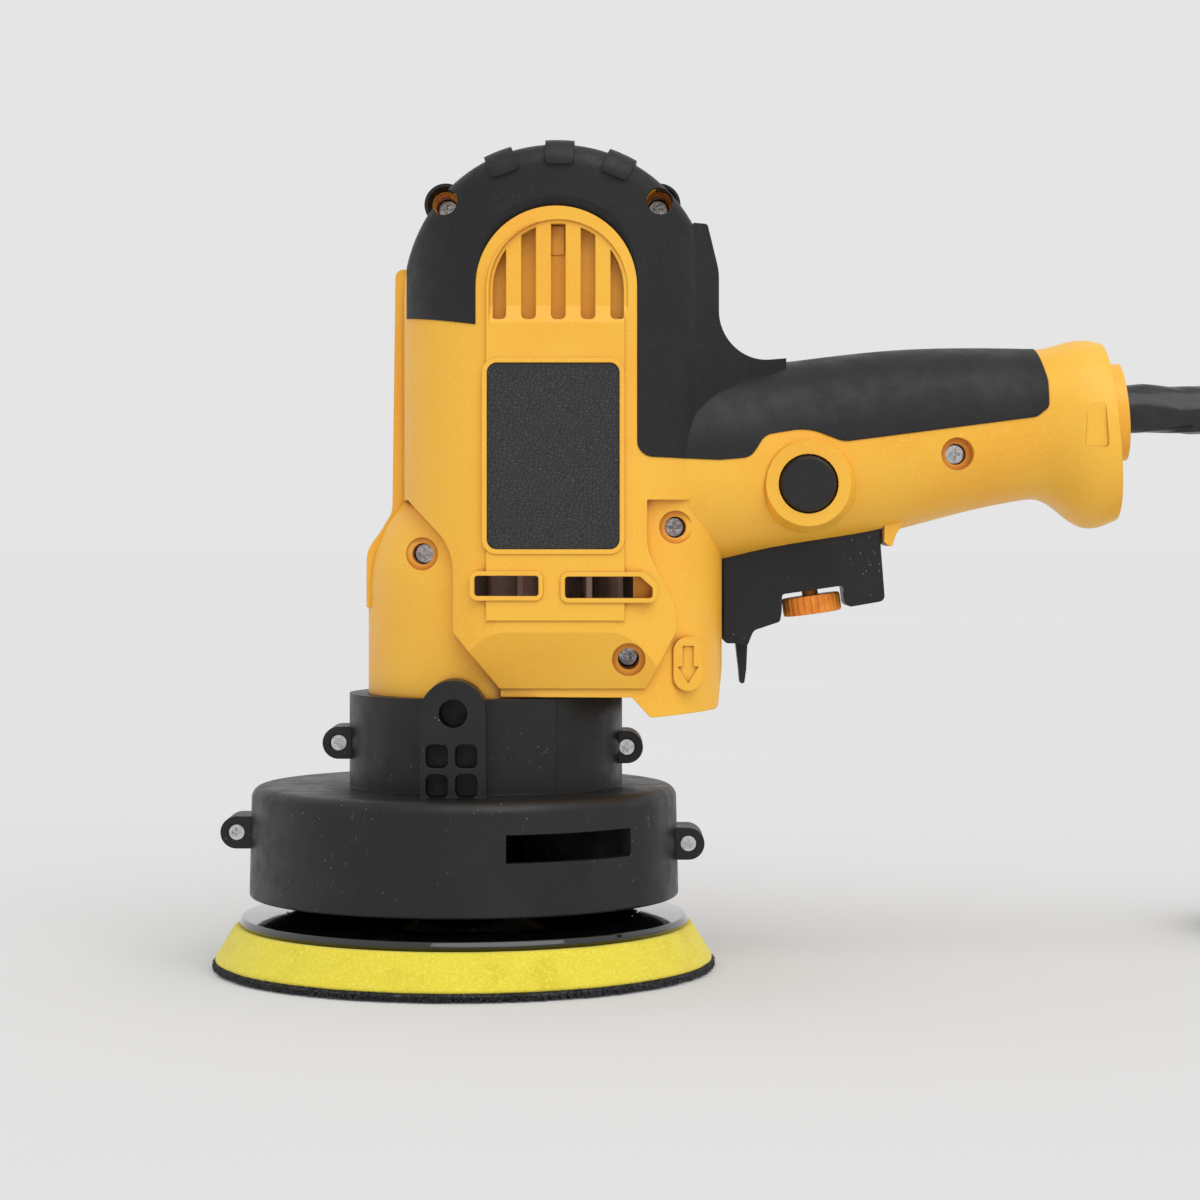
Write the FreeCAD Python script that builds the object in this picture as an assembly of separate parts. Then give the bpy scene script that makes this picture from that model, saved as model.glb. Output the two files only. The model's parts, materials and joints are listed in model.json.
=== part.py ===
"""A rotary polisher with an upright motor and a rear handle, in millimetres.

The origin is on the spindle's axis at the pad's lower face. +Z is up, +X points along the
handle and -Y is the tool's left side. The two housing shells meet on the plane y = 0.
"""
import math
import os

import FreeCAD, Part

# Driving dimensions -------------------------------------------------------------------
WALL = 3.0  # thickness of the moulded shells
COVER_DEPTH = 1.6  # how deep the soft cover is set into the shells
COVER_PROUD = 0.3  # how far the soft cover stands proud of the shells
RIB_PROUD = 1.3  # how far the ribs over the arch stand proud of the shells
RUN_GAP = 0.35  # gap between moving mouldings
FIT_GAP = 0.04  # radial clearance of a shaft in its bearing

MOTOR_X = 23.5  # motor axis
BODY_X = 23.7  # middle of the motor housing
BODY_HALF = 38.2  # half width of the motor housing and radius of its arch
BODY_DEPTH = 36.0  # half depth of the motor housing
BODY_CORNER = 26.0  # plan radius of its corners
BODY_LOW = 116.5  # where the motor housing ends and the front panel goes on
ARCH_TOP = 201.8
ARCH_ROUND = 5.0  # rounding where the arch turns into the sides
NECK_X = 5.4  # axis of the round gear barrel
NECK_R = 29.4
NECK_LOW = 46.0
HANDLE_TILT = 8.0  # degrees that the handle climbs to the rear

PAD_R = 62.5
PAD_TOP_R = 56.8
HOOK_TOP = 2.0
FOAM_TOP = 10.9
SKIRT_R = 53.65
SKIRT_LOW = 18.1
SKIRT_TOP = 45.5
COLLAR_R = 34.15
COLLAR_TOP = 68.5
GUARD_WALL = 3.0

GEAR_MODULE = 1.0
PINION_TEETH = 9
GEAR_TEETH = 38
GEAR_LOW = 69.0
GEAR_HIGH = 76.0

ARCH_IN_X0, ARCH_IN_X1, ARCH_IN_TOP = 4.1, 42.9, 186.9  # yellow arch inside the cover
BEVEL_WIDE = 2.6  # slope between the cover and the yellow arch
COLUMN_X0, COLUMN_X1 = 6.7, 39.9  # flat raised column under the vents
COLUMN_PROUD = 0.5

CORD_R = 3.5
CORD_Z = 139.5  # height of the cord where it leaves the handle

BUTTON_X, BUTTON_Z = 84.9, 120.5
SCREW_R = 1.75
# Screw posts: x, z, counterbore radius, y of the tool's left face there
SCREW_POSTS = (
    (-9.3, 103.4, 4.0, -25.0),
    (52.3, 109.9, 4.0, -30.0),
    (40.9, 78.1, 4.0, -34.0),
    (121.7, 127.9, 4.0, -18.5),
    (-3.5, 188.3, 3.2, -24.0),
    (48.4, 188.3, 3.2, -24.0),
)
ARCH_POSTS = SCREW_POSTS[4:]

V = FreeCAD.Vector


# Shape helpers ------------------------------------------------------------------------
def xz(u, v):
    return V(u, 0, v)


def xy(u, v):
    return V(u, v, 0)


def yz(u, v):
    return V(0, u, v)


def outline(corners, place):
    """A face through corners (u, v) or (u, v, rounding radius)."""
    points = [place(corner[0], corner[1]) for corner in corners]
    stretches = []
    for i, corner in enumerate(corners):
        point = points[i]
        radius = corner[2] if len(corner) > 2 else 0
        if not radius:
            stretches.append((point, point, point))
            continue
        before = (points[i - 1] - point).normalize()
        after = (points[(i + 1) % len(points)] - point).normalize()
        half = before.getAngle(after) / 2
        reach = radius / math.tan(half)
        middle = (before + after).normalize() * (radius / math.sin(half) - radius)
        stretches.append((point + before * reach, point + middle, point + after * reach))
    edges = []
    for i, (start, middle, end) in enumerate(stretches):
        if start.distanceToPoint(end) > 1e-6:
            edges.append(Part.Arc(start, middle, end).toShape())
        following = stretches[(i + 1) % len(stretches)][0]
        if end.distanceToPoint(following) > 1e-6:
            edges.append(Part.makeLine(end, following))
    return Part.Face(Part.Wire(edges))


def prism_x(corners, low, high):
    face = outline(corners, yz)
    face.translate(V(low, 0, 0))
    return face.extrude(V(high - low, 0, 0))


def prism_y(corners, low, high):
    face = outline(corners, xz)
    face.translate(V(0, low, 0))
    return face.extrude(V(0, high - low, 0))


def prism_z(corners, low, high):
    face = outline(corners, xy)
    face.translate(V(0, 0, low))
    return face.extrude(V(0, 0, high - low))


def block(x0, x1, y0, y1, z0, z1):
    return Part.makeBox(x1 - x0, y1 - y0, z1 - z0, V(x0, y0, z0))


def rod(radius, start, end):
    start, end = V(*start), V(*end)
    return Part.makeCylinder(radius, start.distanceToPoint(end), start, end - start)


def post(radius, x, low, high, y=0.0):
    return rod(radius, (x, y, low), (x, y, high))


def cross_rod(radius, x, z, low, high):
    return rod(radius, (x, low, z), (x, high, z))


def ring(outer, inner, x, low, high):
    return post(outer, x, low, high).cut(post(inner, x, low - 1, high + 1))


def turned(profile, x=0.0):
    """Turns a closed profile of (radius, z) corners about the upright axis at x."""
    face = outline(profile, xz)
    solid = face.revolve(V(0, 0, 0), V(0, 0, 1), 360)
    solid.translate(V(x, 0, 0))
    return solid


def fuse(shapes):
    shapes = list(shapes)
    return shapes[0].multiFuse(shapes[1:]) if len(shapes) > 1 else shapes[0]


def slot_corners(x0, x1, z0, z1, radius):
    return [(x0, z0, radius), (x1, z0, radius), (x1, z1, radius), (x0, z1, radius)]


def mirrored(shape):
    return shape.mirror(V(0, 0, 0), V(0, 1, 0))


def spread(shape, count, x=0.0, z=0.0):
    """Copies of a shape turned evenly about the upright axis at x."""
    copies = []
    for i in range(count):
        copy = shape.copy()
        copy.rotate(V(x, 0, z), V(0, 0, 1), 360.0 * i / count)
        copies.append(copy)
    return copies


def rounded(solid, radius, wanted):
    """Rounds the edges whose bounding box the given test accepts."""
    edges = [edge for edge in solid.Edges if wanted(edge.BoundBox)]
    return solid.makeFillet(radius, edges)


def coil_spring(radius, wire, turns, length):
    """A coil spring that stands on z = 0."""
    pitch = length / turns
    path = Part.Wire(Part.makeHelix(pitch, length, radius))
    circle = Part.Circle(V(radius, 0, 0), V(0, 1, 0), wire).toShape()
    return path.makePipeShell([Part.Wire(circle)], True, True)


def route_wire(points, limit):
    """Straight runs joined by tangent arcs, as large as the runs allow."""
    points = [V(*point) for point in points]
    stretches = [(points[0], points[0], points[0])]
    for before, point, after in zip(points, points[1:], points[2:]):
        back, ahead = before - point, after - point
        half = back.getAngle(ahead) / 2
        reach = 0.45 * min(back.Length, ahead.Length)
        radius = reach * math.tan(half)
        if radius < limit:
            print(f"arc radius {radius:.1f} is under {limit:.1f} at {point}")
        back.normalize()
        ahead.normalize()
        middle = (back + ahead).normalize() * (radius / math.sin(half) - radius)
        stretches.append((point + back * reach, point + middle, point + ahead * reach))
    stretches.append((points[-1], points[-1], points[-1]))
    edges = []
    for (_, _, end), (start, middle, last) in zip(stretches, stretches[1:]):
        edges.append(Part.LineSegment(end, start).toShape())
        if start.distanceToPoint(last) > 1e-6:
            edges.append(Part.Arc(start, middle, last).toShape())
    return Part.Wire(edges)


def tube(points, radius, limit):
    path = route_wire(points, limit)
    heading = V(*points[1]) - V(*points[0])
    circle = Part.Circle(V(*points[0]), heading, radius).toShape()
    solid = path.makePipeShell([Part.Wire(circle)], True, True)
    share = solid.Volume / (math.pi * radius**2 * path.Length)
    if abs(share - 1) > 0.01:
        print(f"tube volume is {share:.3f} of its section times its length")
    return solid, path.Length


def save(name, shape):
    solids = shape.Solids
    for solid in solids:
        if not solid.isValid():
            print("not valid:", name)
    result = solids[0] if len(solids) == 1 else Part.makeCompound(solids)
    result.exportStep(f"parts/{name}.step")
    print(f"{name}: {len(solids)} solids, {result.Volume / 1000:.1f} cm3")


os.makedirs("parts", exist_ok=True)


# Outer form of the housing, set in by a wall ------------------------------------------
def body_plan(inset):
    x0, x1 = BODY_X - BODY_HALF + inset, BODY_X + BODY_HALF - inset
    y1 = BODY_DEPTH - inset
    corner = BODY_CORNER - inset
    return [(x0, -y1, corner), (x1, -y1, corner), (x1, y1, corner), (x0, y1, corner)]


def motor_body(inset, round_arch=True):
    x0, x1 = BODY_X - BODY_HALF + inset, BODY_X + BODY_HALF - inset
    top, arch = ARCH_TOP - inset, BODY_HALF - inset
    side = prism_y(
        [(x0, BODY_LOW), (x0, top, arch), (x1, top, arch), (x1, BODY_LOW)], -40, 40
    )
    solid = side.common(prism_z(body_plan(inset), BODY_LOW, top))
    if not round_arch:
        return solid
    return rounded(solid, ARCH_ROUND - inset / 2, arch_edge)


def arch_edge(box):
    """Picks the edges where the arch meets the flat sides and the plan corners."""
    return box.ZMin > BODY_LOW + 30 and box.YLength < 30 and abs(box.Center.y) > 8


def gear_barrel(inset):
    """The round barrel over the gears, with a shoulder that narrows to the motor."""
    radius = NECK_R - inset
    low_shoulder, high_shoulder = V(radius, 0, 95.7), V(19.7 - inset, 0, 118)
    bulge = V(26.6 - inset, 0, 108.3)
    edges = [
        Part.makeLine(V(0, 0, NECK_LOW), V(radius, 0, NECK_LOW)),
        Part.makeLine(V(radius, 0, NECK_LOW), low_shoulder),
        Part.Arc(low_shoulder, bulge, high_shoulder).toShape(),
        Part.makeLine(high_shoulder, V(0, 0, 118)),
        Part.makeLine(V(0, 0, 118), V(0, 0, NECK_LOW)),
    ]
    solid = Part.Face(Part.Wire(edges)).revolve(V(0, 0, 0), V(0, 0, 1), 360)
    solid.translate(V(NECK_X, 0, 0))
    return solid


def gear_block(inset):
    """The squarer part behind the barrel, down to the lug under the trigger's front."""
    y1 = 30.5 - inset
    rear = 64.2 - inset
    plan = [(10, -y1), (rear, -y1, 22 - inset), (rear, y1, 22 - inset), (10, y1)]
    side = prism_y(
        [
            (5, 69 + inset),
            (41.7 + inset, 68.8 + inset),
            (46.2 + inset, 63.9 + inset, 1.5),
            (63.0 - inset, 65.4 + inset, 1.5),
            (rear, 76),
            (rear, 122),
            (5, 122),
        ],
        -40,
        40,
    )
    return side.common(prism_z(plan, 60, 122))


def front_panel():
    """The raised panel that carries on from the motor housing on both sides."""
    face = prism_y(
        [
            (-13.0, BODY_LOW + 4),
            (-13.0, BODY_LOW),
            (-1.4, 104.9, 14),
            (-1.4, 84.7),
            (9.8, 71.0),
            (45.0, 71.0),
            (52.4, 84.7),
            (52.4, 90.5, 5),
            (45.3, 104.5, 12),
            (45.3, BODY_LOW + 4),
        ],
        -40,
        40,
    )
    depth = prism_x(
        [(-31, 70), (31, 70), (BODY_DEPTH, 84.7), (BODY_DEPTH, 122), (-BODY_DEPTH, 122),
         (-BODY_DEPTH, 84.7)],
        -20,
        60,
    )
    return face.common(depth).common(prism_z(body_plan(0), 70, 122))


# Handle sections: x, lowest z, highest z, half depth
HANDLE_SECTIONS = (
    (46, 101.0, 151.5, 29.0),
    (58, 100.0, 151.0, 27.0),
    (70, 102.6, 150.2, 22.8),
    (83, 104.9, 151.3, 20.0),
    (98, 107.1, 153.1, 19.0),
    (112, 110.2, 154.2, 18.8),
    (126, 113.9, 154.5, 18.8),
    (137, 116.2, 154.4, 19.0),
    (144, 116.6, 154.5, 19.8),
    (150, 112.8, 156.0, 21.6),
    (156, 109.6, 156.6, 22.6),
    (168, 109.6, 156.0, 22.6),
)
SECTION_POWER = 2.3  # 2 is an ellipse, more is squarer
SECTION_POINTS = 24


def handle_section(x, low, high, half_depth):
    middle, half_height = (low + high) / 2, (high - low) / 2
    points = []
    for i in range(SECTION_POINTS):
        angle = 2 * math.pi * i / SECTION_POINTS
        c, s = math.cos(angle), math.sin(angle)
        y = half_depth * math.copysign(abs(c) ** (2 / SECTION_POWER), c)
        z = middle + half_height * math.copysign(abs(s) ** (2 / SECTION_POWER), s)
        points.append(V(x, y, z))
    curve = Part.BSplineCurve()
    curve.interpolate(points, PeriodicFlag=True)
    return Part.Wire(curve.toShape())


def end_plane(inset):
    """Everything beyond the handle's sloping end face."""
    lean = 5.2
    beyond = block(161.0 - inset, 220, -60, 60, 60, 220)
    beyond.rotate(V(161.0 - inset, 0, 133), V(0, 1, 0), -lean)
    return beyond


def handle(inset):
    sections = []
    for x, low, high, half_depth in HANDLE_SECTIONS:
        sections.append(handle_section(x, low + inset, high - inset, half_depth - inset))
    return Part.makeLoft(sections, True, False).cut(end_plane(inset))


def rear_fin(inset):
    """The wall behind the motor that runs from the hand stop down into the handle."""
    rear = 62.8 - inset
    solid = prism_y(
        [
            (49.6 + inset, 130),
            (49.6 + inset, 168),
            (57.0 + inset, 183.5 - inset),
            (59.9 - inset, 183.5 - inset, 0.8),
            (rear, 172.5, 14),
            (rear, 149.6 - inset, 11.5),
            (80 - inset, 151.6 - inset),
            (80 - inset, 130),
        ],
        -40,
        40,
    )
    y1 = 34.6 - inset
    plan = prism_z(
        [(44, -y1), (46.5, -y1, 6), (rear, -20 + inset, 14), (84, -5 + inset), (84, 5 - inset),
         (rear, 20 - inset, 14), (46.5, y1, 6), (44, y1)],
        125,
        190,
    )
    return solid.common(plan)


def arch_bosses(inset):
    bosses = []
    for x, z, _, face in ARCH_POSTS:
        bosses.append(cross_rod(4.9 - inset, x, z, face + inset, -face - inset))
    return fuse(bosses)


def spine():
    """The ridge down the nose, where the shells meet."""
    return prism_y(
        [(-16.8, 173.9, 2), (-17.6, 113.0, 8), (-24.0, 104.0, 8), (-24.0, 90), (-8, 90), (-8, 173.9)],
        -8,
        8,
    )


def entry_ring():
    """The collar that the cord's sleeve comes out of."""
    return rod(12.2, (150, 0, 137.5), (164.9, 0, 138.8))


def button_ring():
    face = -22.0
    cone = Part.makeCone(10.4, 12.0, 5.0, V(BUTTON_X, face, BUTTON_Z), V(0, 1, 0))
    return cone.fuse(cross_rod(12.0, BUTTON_X, BUTTON_Z, face + 5, -14))


def rim(corners_out, corners_in, depth, proud):
    outer = prism_y(corners_out, -depth - proud, -depth + 1.5)
    return outer.cut(prism_y(corners_in, -depth - proud - 1, -depth + 3))


def soft_form(inset, round_arch=True):
    return fuse([motor_body(inset, round_arch), handle(inset), rear_fin(inset), arch_bosses(inset)])


def window_corners(grow):
    first = slot_corners(3.9 - grow, 19.3 + grow, 93.4 - grow, 98.3 + grow, 0.8 + grow)
    second = [
        (25.6 - grow, 92.9 - grow, 0.8 + grow),
        (46.6 + grow, 92.9 - grow, 0.8 + grow),
        (46.6 + grow, 95.4 + grow, 0.8),
        (43.6 + grow, 98.1 + grow, 0.8),
        (25.6 - grow, 98.1 + grow, 0.8 + grow),
    ]
    return first, second


LABEL = slot_corners(6.9, 38.7, 104.6, 149.3, 2.4)
LABEL_RIM = slot_corners(5.7, 39.9, 103.4, 150.5, 3.6)
COLUMN = [(COLUMN_X0, 87.5), (COLUMN_X1, 87.5), (COLUMN_X1, 183.4, 16.6), (COLUMN_X0, 183.4, 16.6)]
ARROW_BOSS = slot_corners(51.7, 58.9, 70.3, 83.4, 3.5)
ARROW = [
    (54.0, 81.2), (54.0, 76.2), (52.8, 76.2), (55.3, 72.2), (57.8, 76.2), (56.6, 76.2), (56.6, 81.2)
]


def surface_details():
    """Rims and bosses that stand on the left side; the right side has their mirror."""
    details = [rim(LABEL_RIM, LABEL, BODY_DEPTH, COLUMN_PROUD + 0.35)]
    details.append(prism_y(COLUMN, -BODY_DEPTH - COLUMN_PROUD, -30))
    for wide, narrow in zip(window_corners(1.1), window_corners(0)):
        details.append(rim(wide, narrow, BODY_DEPTH, COLUMN_PROUD + 0.5))
    details.append(prism_y(ARROW_BOSS, -29.0, -18).cut(prism_y(ARROW, -30, -28.4)))
    return details


def soft_region():
    """The part of the side view that the soft covers take up."""
    return prism_y(
        [
            (-30, 174.5),
            (-13.4, 174.5),
            (-13.4, 161.0),
            (ARCH_IN_X0, 158.6),
            (ARCH_IN_X0, ARCH_IN_TOP, (ARCH_IN_X1 - ARCH_IN_X0) / 2),
            (ARCH_IN_X1, ARCH_IN_TOP, (ARCH_IN_X1 - ARCH_IN_X0) / 2),
            (ARCH_IN_X1, 127.0, 4),
            (63.1, 126.3),
            (70.8, 127.0, 4),
            (74.4, 132.6, 4),
            (84.9, 134.3, 14),
            (93.7, 130.9, 6),
            (141.0, 137.0, 3),
            (143.9, 139.4, 2),
            (143.9, 146.0, 5),
            (141.4, 158),
            (141.4, 215),
            (-30, 215),
        ],
        -60,
        60,
    )


def cover_bevel():
    """The slope that leads down from the cover to the yellow arch and column."""
    wires = []
    for grow, y in ((-0.1, -BODY_DEPTH + 1.0), (BEVEL_WIDE, -BODY_DEPTH - COVER_PROUD - 0.1)):
        x0, x1, top = ARCH_IN_X0 - grow, ARCH_IN_X1 + grow, ARCH_IN_TOP + grow
        arch = (x1 - x0) / 2
        low = 127.0 - grow
        corners = [(x0, 158.6), (x0, top, arch), (x1, top, arch), (x1, low, 4), (30, low), (30, 158.6)]
        face = outline(corners, xz)
        face.translate(V(0, y, 0))
        wires.append(face.OuterWire)
    slope = Part.makeLoft(wires, True, True)
    return slope.fuse(mirrored(slope))


def arch_ribs():
    """Three low ribs that run over the arch and end a little way down each side."""
    ribs = []
    low, high = BODY_HALF - 5.0, BODY_HALF + 6.0
    for angle in (66.0, 89.0, 111.5):
        rib = prism_y([(low, -3.5, 1.2), (high, -3.5), (high, 3.5), (low, 3.5, 1.2)], -50, 50)
        rib.rotate(V(0, 0, 0), V(0, 1, 0), -angle)
        rib.translate(V(BODY_X, 0, ARCH_TOP - BODY_HALF))
        ribs.append(rib)
    return fuse(ribs).common(soft_form(-RIB_PROUD))


# Housing shells and soft covers -------------------------------------------------------
LEFT_SIDE = block(-200, 300, -200, 0, -50, 300)
RIGHT_SIDE = block(-200, 300, 0, 200, -50, 300)
HEAD_SEAT = 9.0  # how far each screw's head sits from the parting plane
HEAD_R = 2.3
UPPER_SEAT_LOW, UPPER_SEAT_HIGH = 175.5, 182.5
PLATE_LOW, PLATE_HIGH = 79.0, 83.0
PLATE_PLAN = [(-17.6, -21, 17), (35.2, -21, 17), (35.2, 21, 17), (-17.6, 21, 17)]
STATOR_LOW, STATOR_HIGH, STATOR_R = 120.0, 150.0, 30.0
COIL_LOW, COIL_HIGH = 112.4, 156.5  # ends of the field windings
TRIGGER_HALF = 7.2
VENT_X, VENT_Z = 24.0, 167.0  # centre of the vents' arch
VENT_R, VENT_RECESS_R = 15.7, 16.6


def inner_room():
    """The space inside the shells, with the screw posts left standing."""
    room = fuse(
        [
            motor_body(WALL, False).cut(block(-60, 120, -60, 60, BODY_LOW - 1, BODY_LOW + WALL)),
            gear_barrel(WALL),
            gear_block(WALL),
            block(2.5, 42.0, -32.8, 32.8, 88, 122),
            handle(WALL),
        ]
    )
    posts = [cross_rod(5.0, x, z, -40, 40) for x, z, _, _ in SCREW_POSTS]
    return room.cut(fuse(posts))


def inner_ribs():
    """Webs that hold the inner parts, and the screens behind the vents."""
    seat = fuse(
        [
            post(14, MOTOR_X, UPPER_SEAT_LOW, UPPER_SEAT_HIGH),
            block(-20, 65, -2, 2, UPPER_SEAT_LOW, UPPER_SEAT_HIGH),
            block(MOTOR_X - 2, MOTOR_X + 2, -40, 40, UPPER_SEAT_LOW, UPPER_SEAT_HIGH),
        ]
    )
    ribs = [seat.cut(post(11.0, MOTOR_X, 170, 190)).common(motor_body(1))]
    for low in (119.0, 143.0):
        slab = block(-20, 57, -40, 40, low, low + 3).common(motor_body(1))
        lead_notch = block(54.4, 60, -13, 13, low - 1, low + 4)
        ribs.append(slab.cut(post(STATOR_R + 0.1, MOTOR_X, 100, 160)).cut(lead_notch))
    shelf = block(-30, 34, -40, 40, PLATE_LOW - 2.2, PLATE_LOW).common(gear_barrel(1))
    opening = [(-15.2, -19, 15), (40, -19), (40, 19), (-15.2, 19, 15)]
    ribs.append(shelf.cut(prism_z(opening, 70, 90)))
    screen = block(4.5, 43.5, -30.8, -29.2, 157.5, 184).fuse(block(4.5, 43.5, -34, -29.2, 156.8, 158.4))
    screen = screen.common(motor_body(1))
    ribs += [screen, mirrored(screen)]
    for x, radius in ((131.0, 8.0), (149.6, 6.35)):
        bulkhead = block(x, x + 3.4, -40, 40, 100, 170).common(handle(1))
        ribs.append(bulkhead.cut(rod(radius, (x - 1, 0, CORD_Z), (x + 5, 0, CORD_Z))))
    return ribs


def vent_arch(radius, low, y1):
    """A round-topped block round the vents."""
    x0, x1, top = VENT_X - radius, VENT_X + radius, VENT_Z + radius
    corners = [(x0, low), (x1, low), (x1, top, radius - 0.01), (x0, top, radius - 0.01)]
    return prism_y(corners, -45, y1)


def vents():
    """Upright slots whose tops follow the arch."""
    arch = vent_arch(VENT_R, 150, -25)
    slots = []
    for step in range(-2, 3):
        x = VENT_X + 7.13 * step
        slot = prism_y(slot_corners(x - 1.75, x + 1.75, 159.7, 190, 1.2), -40, -31.2)
        slots.append(slot.common(arch))
    return slots


def vent_recess():
    """The vents' arch, set back behind a plain rim."""
    x0, x1 = VENT_X - VENT_RECESS_R, VENT_X + VENT_RECESS_R
    sunk = vent_arch(VENT_RECESS_R, 163, -BODY_DEPTH + 0.7)
    ramp = prism_x([(-BODY_DEPTH + 0.7, 163.1), (-40, 163.1), (-40, 152), (-BODY_DEPTH - 0.6, 158.6)], x0, x1)
    return sunk.fuse(ramp)


def side_openings():
    """What is cut through the left side; the right side has the mirror of it."""
    cuts = vents() + [vent_recess()]
    cuts += [prism_y(corners, -40, -29) for corners in window_corners(0)]
    cuts.append(prism_y(LABEL, -40, -BODY_DEPTH + 0.6))
    return cuts


def screw_holes_left():
    cuts = []
    for x, z, radius, face in SCREW_POSTS:
        cuts.append(cross_rod(radius, x, z, -50, face + 4.5))
        cuts.append(cross_rod(HEAD_R + 0.3, x, z, -50, -HEAD_SEAT))
        cuts.append(cross_rod(SCREW_R + 0.15, x, z, -HEAD_SEAT - 1, 1))
    for x, z, radius, face in ARCH_POSTS:
        cuts.append(Part.makeCone(radius + 1.2, radius, 2.4, V(x, face - 0.31, z), V(0, 1, 0)))
    return fuse(cuts)


def button_seat():
    """The spring's seat behind the lock button."""
    walls = [
        block(75.6, 77.2, -20, -9.2, 112, 129.6),
        block(92.6, 94.2, -20, -9.2, 112, 129.6),
        block(75.6, 94.2, -10.6, -9.2, 112, 129.6),
    ]
    return fuse(walls).common(handle(1))


def trigger_slot():
    return block(64.25, 105.4, -TRIGGER_HALF - RUN_GAP, TRIGGER_HALF + RUN_GAP, 90, 118)


def rear_lip():
    return prism_y([(104.6, 111), (104.5, 106.2), (106.4, 104.8, 0.6), (107.4, 108), (110, 112)], -9, 9)


def end_recess():
    """The plain sunk panel on each side of the end flange."""
    panel = [(152.4, 129.8, 1), (158.2, 129.4, 1), (157.2, 143.4, 1), (153.0, 143.2, 1)]
    return prism_y(panel, -40, -21.9)


def housing_parts():
    details = surface_details()
    outer = fuse(
        [
            motor_body(0, False),
            gear_barrel(0),
            gear_block(0),
            front_panel(),
            handle(0),
            rear_fin(0),
            arch_bosses(0),
            spine(),
            entry_ring(),
            rear_lip(),
            button_ring(),
        ]
        + details
        + [mirrored(detail) for detail in details]
    )
    covers = soft_form(-COVER_PROUD).fuse(arch_ribs()).common(soft_region())
    under_covers = soft_form(COVER_DEPTH, False)
    covers = covers.cut(under_covers).cut(spine()).cut(cover_bevel())
    neck_mouth = post(NECK_R - WALL, NECK_X, NECK_LOW - 1, NECK_LOW + 5)
    shell = outer.cut(inner_room()).cut(neck_mouth).fuse(inner_ribs())
    shell = shell.cut(soft_region().common(soft_form(-2).cut(under_covers)))
    openings = side_openings() + [end_recess()]
    openings += [mirrored(opening) for opening in openings]
    openings.append(rod(6.35, (155, 0, CORD_Z - 0.2), (170, 0, CORD_Z)))
    openings.append(trigger_slot())
    shell = shell.cut(fuse(openings))

    button_bore = fuse(
        [
            cross_rod(7.3, BUTTON_X, BUTTON_Z, -30, -15),
            cross_rod(8.9, BUTTON_X, BUTTON_Z, -18.1, -10.6),
        ]
    )
    left = shell.common(LEFT_SIDE).fuse(button_seat()).cut(button_bore)
    left = left.cut(screw_holes_left())
    pilots = [cross_rod(SCREW_R, x, z, -1, 13) for x, z, _, _ in SCREW_POSTS]
    right = shell.common(RIGHT_SIDE).cut(fuse(pilots))
    left_cover = covers.common(LEFT_SIDE).cut(screw_holes_left())
    left_cover = left_cover.cut(cross_rod(12.2, BUTTON_X, BUTTON_Z, -40, -14))
    right_cover = covers.common(RIGHT_SIDE)
    return left, right, left_cover, right_cover


def label_plate():
    corners = slot_corners(7.0, 38.6, 104.7, 149.2, 2.3)
    return prism_y(corners, -BODY_DEPTH - COLUMN_PROUD, -BODY_DEPTH + 0.6)


def cross_screw(x, z, head_y, radius, length, head_radius, head_height):
    shank = cross_rod(radius, x, z, head_y, head_y + length)
    head = cross_rod(head_radius, x, z, head_y - head_height, head_y)
    reach, half = 0.55 * head_radius, 0.14 * head_radius
    low = head_y - head_height
    deep = low + 0.5 * head_height
    recess = block(x - reach, x + reach, low - 1, deep, z - half, z + half)
    recess = recess.fuse(block(x - half, x + half, low - 1, deep, z - reach, z + reach))
    return head.fuse(shank).cut(recess)


def housing_screws():
    screws = []
    for x, z, _, _ in SCREW_POSTS:
        screws.append(cross_screw(x, z, -HEAD_SEAT, 1.6, 20, HEAD_R, 2.0))
    return Part.makeCompound(screws)


# Guard --------------------------------------------------------------------------------
# Screw ears: x, z, direction of the guard's middle
EARS = ((-31.0, 56.3, 1), (40.7, 55.2, -1), (-56.4, 34.0, 1), (56.0, 31.2, -1))
EAR_SCREW_R = 1.2
EAR_HEAD_Y = -5.6  # where the head sits in its counterbore
LUG_X, LUG_HOLE_Z, LUG_FACE, LUG_HALF = -1.0, 65.5, 40.3, 7.9
LUG_HOLE_R, LUG_HOLE_DEEP = 3.4, 9.8


def wedge(start, end, low, high, reach=90.0):
    """A sector between two angles, counted from -Y towards +X."""
    corners = [(0, 0)]
    for angle in (start, (start + end) / 2, end):
        a = math.radians(angle)
        corners.append((reach * math.sin(a), -reach * math.cos(a)))
    return prism_z(corners, low, high)


def side_lug():
    corners = [
        (LUG_X - LUG_HALF, 44.3, 1),
        (LUG_X + LUG_HALF, 44.3, 1),
        (LUG_X + LUG_HALF, LUG_HOLE_Z + LUG_HALF, LUG_HALF),
        (LUG_X - LUG_HALF, LUG_HOLE_Z + LUG_HALF, LUG_HALF),
    ]
    return prism_y(corners, -LUG_FACE, -22)


def lug_cuts():
    cuts = [cross_rod(LUG_HOLE_R, LUG_X, LUG_HOLE_Z, -50, -LUG_FACE + LUG_HOLE_DEEP)]
    for x in (-7.5, -0.5):
        for z in (45.4, 52.5):
            cuts.append(prism_y(slot_corners(x, x + 5.3, z, z + 5.7, 1.6), -50, -LUG_FACE + 7))
    return cuts


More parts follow.
